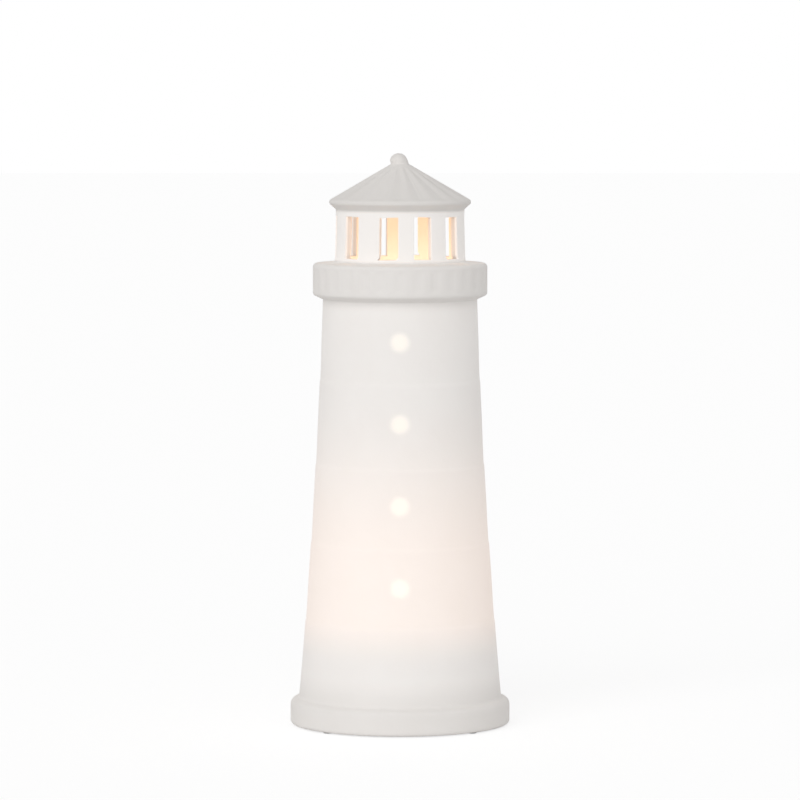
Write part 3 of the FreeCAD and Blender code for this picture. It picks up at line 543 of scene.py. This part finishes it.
def coated(piece, *paints):
    piece.data.materials.clear()
    for paint in paints:
        piece.data.materials.append(paint.material)


# %% [markdown]
# ## Unglazed porcelain
# Bisque is chalk white with a warm cast, dead matt, and very slightly grainy. The wall is thin, so the
# lamp's light comes through it. That light is painted into the emission colour: a warm painted glow on the
# lower half of the tower, laid out by height, which stops softly where the lamp's housing shades it, a
# fainter painted glow over the tower and lantern walls, and a painted glow round each porthole. Inside, the
# lamp's warm light on the bare wall is painted into the emission colour too. Being painted, this light
# stays with the porcelain from every side.

# %% Outside and inside of the porcelain
BISQUE = (0.880, 0.850, 0.820)
BISQUE_SHADE = (0.835, 0.800, 0.765)


def bisque(name):
    paint = Paint(name, roughness=0.82, Specular_IOR_Level=0.25)
    cloud = paint.noise(0.035, 3.0)
    speck = paint.soft_step(paint.noise(1.9, 2.0), 0.60, 0.80)
    shade = paint.soft_step(cloud, 0.30, 0.75) * 0.35 + speck * 0.25
    paint.feed("Base Color", paint.mixed(shade, BISQUE, BISQUE_SHADE))
    paint.feed("Roughness", 0.76 + cloud * 0.14)
    grain = paint.noise(2.6, 3.0) * 0.7 + paint.noise(0.35, 2.0) * 0.9
    paint.bumpy(grain, 0.10, 0.55)
    return paint


outside_paint = bisque("bisque_outside")
# Painted light: the lamp's warm glow through the wall. It rises above the line where the lamp's housing
# shades the wall, and fades out higher up.
rise = outside_paint.soft_step(outside_paint.z, 0.034, 0.060)
fade = 1 - outside_paint.soft_step(outside_paint.z, 0.085, 0.180)
front = outside_paint.soft_step(outside_paint.y, 0.0, -0.030)
# Painted light: a glow round each porthole on the front, where the lamp's light shines out.
port_glow_rings = None
for port_height in PORTS:
    up = outside_paint.z - port_height * MM
    away = (up * up + outside_paint.x * outside_paint.x) ** 0.5
    ring = 1 - outside_paint.soft_step(away, PORT_RADIUS * 0.9 * MM, PORT_RADIUS * 2.0 * MM)
    port_glow_rings = ring if port_glow_rings is None else port_glow_rings + ring
painted_lamp_glow = outside_paint.mixed(rise * fade * 0.95, (0, 0, 0), (0.150, 0.082, 0.045))
outside_paint.shader.inputs["Emission Strength"].default_value = 1.0
painted_port_glow = outside_paint.mixed(port_glow_rings * front * 0.8, (0, 0, 0), (0.22, 0.18, 0.12))
# Painted light: an even glow of the lamp's light through the wall. It is faint everywhere below the roof,
# stronger on the tower and strongest on the lantern.
above_gallery = outside_paint.soft_step(outside_paint.z, 0.2434, 0.2450)
lantern_wall = above_gallery * (1 - outside_paint.soft_step(outside_paint.z, 0.2690, 0.2706))
above_foot = outside_paint.soft_step(outside_paint.z, 0.0140, 0.0300)
tower_wall = above_foot * (1 - outside_paint.soft_step(outside_paint.z, 0.2180, 0.2250))
below_roof = 1 - outside_paint.soft_step(outside_paint.z, 0.2690, 0.2712)
EVERYWHERE, MORE_IN_TOWER, MORE_IN_LANTERN = 0.27, 0.50, 0.72
light_through = below_roof * EVERYWHERE + tower_wall * MORE_IN_TOWER + lantern_wall * MORE_IN_LANTERN
painted_wall_glow = outside_paint.mixed(light_through, (0, 0, 0), (0.180, 0.174, 0.172))
total = outside_paint.node("ShaderNodeVectorMath", {"operation": "ADD"}, {0: painted_lamp_glow, 1: painted_port_glow})
total = outside_paint.node("ShaderNodeVectorMath", {"operation": "ADD"}, {0: total, 1: painted_wall_glow})
outside_paint.feed("Emission Color", total)

# Painted light: the lamp's warm light on the inner wall is painted into the emission colour. It is bright in
# the tower, and dimmer and browner up in the lantern.
inside_paint = bisque("bisque_inside")
out_from_axis = (inside_paint.x * inside_paint.x + inside_paint.y * inside_paint.y) ** 0.5
above_floor = inside_paint.soft_step(inside_paint.z, 0.0155, 0.030)
in_tower = 1 - inside_paint.soft_step(inside_paint.z, 0.205, 0.232)
through_wall = 1 - inside_paint.soft_step(out_from_axis, 0.0298, 0.0310)
low_in_lantern = 1 - inside_paint.soft_step(inside_paint.z, 0.242, 0.262)
lantern_glow = inside_paint.mixed(low_in_lantern, (0.13, 0.050, 0.004), (0.19, 0.095, 0.030))
tower_glow = inside_paint.mixed(in_tower, lantern_glow, (0.88, 0.67, 0.51))
lit = above_floor * (in_tower + (1 - in_tower) * through_wall)
inside_paint.shader.inputs["Emission Strength"].default_value = 1.0
inside_paint.feed("Emission Color", inside_paint.mixed(lit, (0, 0, 0), tower_glow))
coated(tower, outside_paint, inside_paint)

# %% Which faces are inside
outline_points = np.array(rounded(outside_corners)) * MM
centres = face_centres(tower)
flat = np.stack((np.hypot(centres[:, 0], centres[:, 1]), centres[:, 2]), 1)
nearest = np.full(len(flat), 1.0)
for start, end in zip(outline_points, outline_points[1:]):
    way = end - start
    share = np.clip((flat - start) @ way / (way @ way), 0, 1)
    nearest = np.minimum(nearest, np.linalg.norm(flat - start - share[:, None] * way, axis=1))
tower.data.polygons.foreach_set("material_index", (nearest > 1.15 * MM).astype(np.int32))
tower.data.update()
print("inside faces:", int((nearest > 1.15 * MM).sum()))

# %% [markdown]
# ## Materials of the lamp and its holder
# The rest is small hardware: moulded thermoplastic, plated steel, brass, bronze springs, a white lamp with
# an opal dome. Each finish has its own grain and tint.


# %% Finishes
def finish(
    name, colour, other, roughness, metallic=0.0, grain=1.5, depth=0.02, stretch=(1, 1, 1), **constants
):
    """A finish with two tones that drift into each other, and a fine grain."""
    paint = Paint(name, roughness=roughness, metallic=metallic, **constants)
    drift = paint.soft_step(paint.noise(0.12, 3.0), 0.35, 0.70)
    fine = paint.noise(grain, 3.0, stretch)
    paint.feed("Base Color", paint.mixed(drift * 0.6 + fine * 0.4, colour, other))
    paint.feed("Roughness", roughness * 0.85 + fine * roughness * 0.3)
    paint.bumpy(fine, depth)
    return paint


paints = {
    "clear_silicone": finish(
        "clear_silicone", (0.90, 0.90, 0.89), (0.84, 0.85, 0.84), 0.35, Transmission_Weight=0.6
    ),
    "holder_plastic": finish(
        "holder_plastic", (0.83, 0.82, 0.79), (0.78, 0.77, 0.73), 0.42, grain=2.4, depth=0.03
    ),
    "insulator_ceramic": finish(
        "insulator_ceramic", (0.80, 0.78, 0.72), (0.72, 0.69, 0.62), 0.55, depth=0.03
    ),
    "brass": finish("brass", (0.78, 0.57, 0.25), (0.64, 0.45, 0.18), 0.28, 1.0, 3.0, 0.01, (1, 1, 6)),
    "plated_steel": finish("plated_steel", (0.62, 0.62, 0.60), (0.50, 0.51, 0.50), 0.30, 1.0, 2.0, 0.01),
    "spring_bronze": finish(
        "spring_bronze", (0.66, 0.42, 0.24), (0.52, 0.32, 0.17), 0.27, 1.0, 2.5, 0.01, (6, 1, 1)
    ),
    "black_rubber": finish(
        "black_rubber", (0.030, 0.030, 0.032), (0.055, 0.055, 0.055), 0.72, grain=2.0, depth=0.04
    ),
    "nickel_plate": finish(
        "nickel_plate", (0.70, 0.68, 0.63), (0.58, 0.56, 0.52), 0.24, 1.0, 2.5, 0.01, (1, 1, 8)
    ),
    "black_insulator": finish(
        "black_insulator", (0.022, 0.021, 0.024), (0.05, 0.047, 0.05), 0.16, depth=0.01
    ),
    "solder": finish("solder", (0.60, 0.60, 0.61), (0.46, 0.46, 0.48), 0.34, 1.0, 1.2, 0.06),
    "lamp_plastic": finish(
        "lamp_plastic", (0.86, 0.86, 0.85), (0.81, 0.81, 0.80), 0.36, grain=2.0, depth=0.015
    ),
    "aluminium": finish(
        "aluminium", (0.74, 0.75, 0.76), (0.62, 0.63, 0.65), 0.36, 1.0, 2.0, 0.02, (1, 1, 7)
    ),
    "circuit_board": finish("circuit_board", (0.10, 0.26, 0.12), (0.07, 0.19, 0.09), 0.36, grain=3.0),
    "led_board": finish("led_board", (0.84, 0.84, 0.82), (0.78, 0.78, 0.76), 0.45, grain=3.0),
    "led_phosphor": finish("led_phosphor", (0.86, 0.66, 0.16), (0.80, 0.58, 0.10), 0.35, grain=3.0),
    "component_black": finish("component_black", (0.03, 0.03, 0.035), (0.06, 0.06, 0.065), 0.38, grain=2.0),
    "copper_coil": finish(
        "copper_coil", (0.62, 0.30, 0.15), (0.45, 0.19, 0.09), 0.30, 1.0, 1.5, 0.08, (0.2, 0.2, 6)
    ),
    "opal_plastic": finish(
        "opal_plastic", (0.90, 0.88, 0.83), (0.86, 0.83, 0.77), 0.38, grain=1.6, depth=0.01
    ),
}
opal = paints["opal_plastic"]
crown = opal.soft_step(opal.z, 0.062, 0.080)
opal.shader.inputs["Emission Strength"].default_value = 1.0
opal.feed("Emission Color", opal.mixed(crown, (0.30, 0.22, 0.12), (0.62, 0.53, 0.38)))

# %% [markdown]
# ## Floor, light and camera
# A pale floor that the object stands on, which also glows a little so that it reads as white paper. A white
# room that is darker overhead, one broad soft light from the front left, and a long lens a little above the
# top of the knob that looks slightly down.

# %% The stage
deselect()
bpy.ops.mesh.primitive_plane_add(size=24)
floor = bpy.context.object
floor.name = "floor"
floor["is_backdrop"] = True
pale = Paint("floor_white", roughness=0.9)
pale.shader.inputs["Base Color"].default_value = (0.80, 0.80, 0.80, 1)
seen = pale.node("ShaderNodeLightPath", output="Is Camera Ray")
shadow_side = pale.node("ShaderNodeBsdfDiffuse", inputs={"Color": (0.42, 0.42, 0.42, 1)}, output="BSDF")
PAPER_GLOW = 0.71
glow = {"Color": (1, 1, 1, 1), "Strength": PAPER_GLOW}
white_side = pale.node("ShaderNodeEmission", inputs=glow, output="Emission")
both = pale.node("ShaderNodeAddShader", inputs={0: shadow_side, 1: white_side})
plain = Wire(pale, pale.shader.outputs[0])
mix = pale.node("ShaderNodeMixShader", inputs={0: seen, 1: plain, 2: both})
pale.tree.links.new(mix.socket, pale.tree.nodes["Material Output"].inputs["Surface"])
coated(floor, pale)

# %% The light
scene = bpy.context.scene
world = bpy.data.worlds.new("white_room")
scene.world = world
world.use_nodes = True
room = world.node_tree
room.nodes.clear()
path = room.nodes.new("ShaderNodeLightPath")
seen = room.nodes.new("ShaderNodeMath")
seen.operation = "MAXIMUM"
room.links.new(path.outputs["Is Camera Ray"], seen.inputs[0])
clear = room.nodes.new("ShaderNodeMath")
clear.operation = "MAXIMUM"
room.links.new(path.outputs["Is Glossy Ray"], clear.inputs[0])
room.links.new(path.outputs["Is Transmission Ray"], clear.inputs[1])
room.links.new(clear.outputs[0], seen.inputs[1])
ambient = room.nodes.new("ShaderNodeBackground")
SKY_AT_EYE_LEVEL, SKY_OVERHEAD = 0.84, 0.34
direction = room.nodes.new("ShaderNodeTexCoord")
split = room.nodes.new("ShaderNodeSeparateXYZ")
darker_above = room.nodes.new("ShaderNodeMapRange")
darker_above.inputs["From Min"].default_value = 0.0
darker_above.inputs["From Max"].default_value = 1.0
darker_above.inputs["To Min"].default_value = SKY_AT_EYE_LEVEL
darker_above.inputs["To Max"].default_value = SKY_OVERHEAD
room.links.new(direction.outputs["Generated"], split.inputs[0])
room.links.new(split.outputs["Z"], darker_above.inputs["Value"])
room.links.new(darker_above.outputs[0], ambient.inputs["Strength"])
backdrop = room.nodes.new("ShaderNodeBackground")
backdrop.inputs["Strength"].default_value = 1.0
for background in (ambient, backdrop):
    background.inputs["Color"].default_value = (1, 1, 1, 1)
choice = room.nodes.new("ShaderNodeMixShader")
room.links.new(seen.outputs[0], choice.inputs[0])
room.links.new(ambient.outputs[0], choice.inputs[1])
room.links.new(backdrop.outputs[0], choice.inputs[2])
output = room.nodes.new("ShaderNodeOutputWorld")
room.links.new(choice.outputs[0], output.inputs["Surface"])

deselect()
bpy.ops.object.light_add(type="SUN", location=(-1.2, -1.6, 1.6))
key = bpy.context.object
key.name = "soft_light"
key.data.energy = 0.85
key.data.angle = math.radians(50)
key.rotation_euler = (math.radians(60), 0, math.radians(-20))

# %% The camera
CAMERA_AWAY, CAMERA_UP, AIM_UP = 2.51, 0.350, 0.1706
deselect()
bpy.ops.object.camera_add(location=(0, -CAMERA_AWAY, CAMERA_UP))
camera = bpy.context.object
down = math.atan2(CAMERA_UP - AIM_UP, CAMERA_AWAY)
camera.rotation_euler = (math.pi / 2 - down, 0, 0)
camera.data.sensor_width = 36
camera.data.lens = 216
camera.data.clip_end = 100
scene.camera = camera
scene.view_settings.view_transform = "Standard"
print("camera looks down", round(math.degrees(down), 2), "degrees")

# %% [markdown]
# ## Finishes and the object's size
# Nodes that keep their own mesh take the finish of their slot. The object's box is printed at the end,
# because looks don't change sizes.

# %% Finishes on the nodes, sizes and the end
BY_HAND = {
    "foot_pad_1": "clear_silicone", "foot_pad_2": "clear_silicone", "foot_pad_3": "clear_silicone",
    "foot_pad_4": "clear_silicone", "holder_body": "holder_plastic", "bottom_cover": "holder_plastic",
    "cover_screws": "plated_steel", "terminal_insert": "insulator_ceramic", "insert_screws": "plated_steel",
    "neutral_terminal": "brass", "live_terminal": "brass", "terminal_screws": "plated_steel",
    "screw_shell": "nickel_plate", "centre_contact": "spring_bronze", "cord_bush": "black_rubber",
    "spring_clip_right": "plated_steel", "spring_clip_left": "plated_steel", "bulb_tip": "solder",
    "bulb_insulator": "black_insulator", "bulb_cap": "nickel_plate", "bulb_housing": "lamp_plastic",
    "bulb_heat_sink": "aluminium", "bulb_led_board": "led_board", "bulb_leds": "led_phosphor",
    "bulb_diffuser": "opal_plastic", "bulb_driver_board": "circuit_board",
    "driver_capacitor": "component_black", "driver_coil": "copper_coil",
}
for name, slot in BY_HAND.items():
    coated(nodes[name], paints[slot])

low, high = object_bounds()
print("scene box in mm:", [round(v / MM, 2) for v in (*low, *high)])
